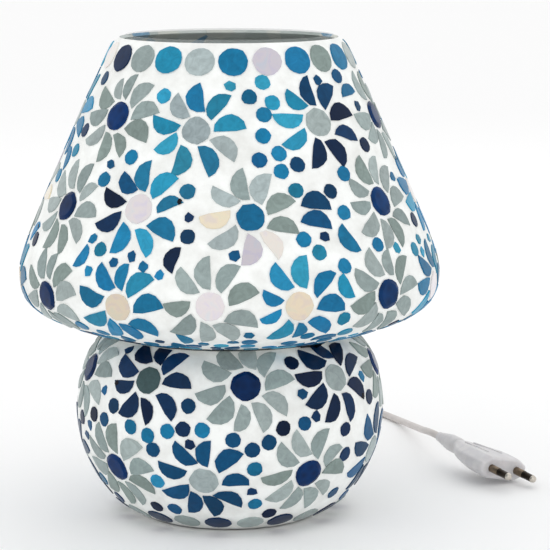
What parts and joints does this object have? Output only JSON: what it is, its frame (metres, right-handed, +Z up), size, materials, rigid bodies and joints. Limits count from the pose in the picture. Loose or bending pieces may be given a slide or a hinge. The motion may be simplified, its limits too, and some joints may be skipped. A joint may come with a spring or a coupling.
{
  "type": "mosaic glass table lamp",
  "caption": "Table lamp with a round base and wide shade blown in one glass envelope, covered in a glass chip mosaic, with holder, bulb, in-line switch and plug.",
  "frame": {"origin": "centre of the lamp's footprint, on the surface it stands on", "axes": "+Z up along the lamp's axis, -Y towards the front, +X to the right; the cord leaves at the back, +Y"},
  "size_m": [0.3033, 0.3891, 0.275],
  "materials": {
    "clear_glass": "clear blown soda-lime glass",
    "mosaic": "off-white grout set with blue, navy and grey glass chips",
    "felt": "pressed grey felt",
    "gasket_rubber": "black rubber sheet",
    "plated_steel": "zinc plated sheet and screws",
    "brass": "plain turned brass",
    "holder_plastic": "moulded white thermoset plastic",
    "porcelain": "glazed white porcelain",
    "nickel": "nickel plated brass",
    "black_glass": "black moulded glass",
    "opal_glass": "opal white blown glass",
    "cord_pvc": "soft whitish PVC sheath",
    "tie_plastic": "black plastic wrapped tie",
    "switch_plastic": "moulded white ABS",
    "plug_pvc": "translucent white moulded PVC"
  },
  "bodies": {
    "lamp": {"glass_envelope": "clear_glass", "shade_mosaic": "mosaic", "base_mosaic": "mosaic", "foot_ring": "felt", "lower_gasket": "gasket_rubber", "lower_plate": "plated_steel", "upper_gasket": "gasket_rubber", "upper_plate": "plated_steel", "holder_bracket": "plated_steel", "clamp_screw_left": "plated_steel", "clamp_screw_right": "plated_steel", "clamp_nut_left": "plated_steel", "clamp_nut_right": "plated_steel", "nipple": "brass", "lock_nut_lower": "brass", "lock_nut_upper": "brass", "holder_cap": "holder_plastic", "holder_insert": "porcelain", "thread_shell": "brass", "centre_contact": "brass", "holder_sleeve": "holder_plastic", "cord_strain_relief": "cord_pvc", "inner_cord": "cord_pvc", "cord_relief_to_coil": "cord_pvc", "cord_coil": "cord_pvc", "coil_tie": "tie_plastic", "cord_coil_to_switch": "cord_pvc", "switch_lower_shell": "switch_plastic", "switch_upper_shell": "switch_plastic", "switch_screw_front": "plated_steel", "switch_screw_rear": "plated_steel", "cord_switch_to_plug": "cord_pvc", "plug_body": "plug_pvc", "plug_strain_relief": "plug_pvc", "plug_pin_left": "nickel", "plug_pin_right": "nickel"},
    "bulb_lift": {"bulb_tip_contact": "nickel"},
    "bulb": {"bulb_insulator": "black_glass", "bulb_cap": "nickel", "bulb_glass": "opal_glass"},
    "rocker": {"switch_rocker": "switch_plastic"}
  },
  "joints": [
    {"name": "bulb_rise", "type": "slide", "parent": "lamp", "child": "bulb_lift", "axis": [0, 0, 1], "range_m": [0, 0.0108]},
    {"name": "bulb_turn", "type": "hinge", "parent": "bulb_lift", "child": "bulb", "pos_m": [0, 0, 0.12], "axis": [0, 0, 1], "range_deg": [0, 1080]},
    {"name": "rocker_tip", "type": "hinge", "parent": "lamp", "child": "rocker", "pos_m": [0.0269, 0.2143, 0.0115], "axis": [-0.9063, 0.4226, 0], "range_deg": [0, 16]}
  ],
  "couplings": [
    {"joint": "bulb_turn", "follows": "bulb_rise", "rad_per_m": 1745.3}
  ]
}
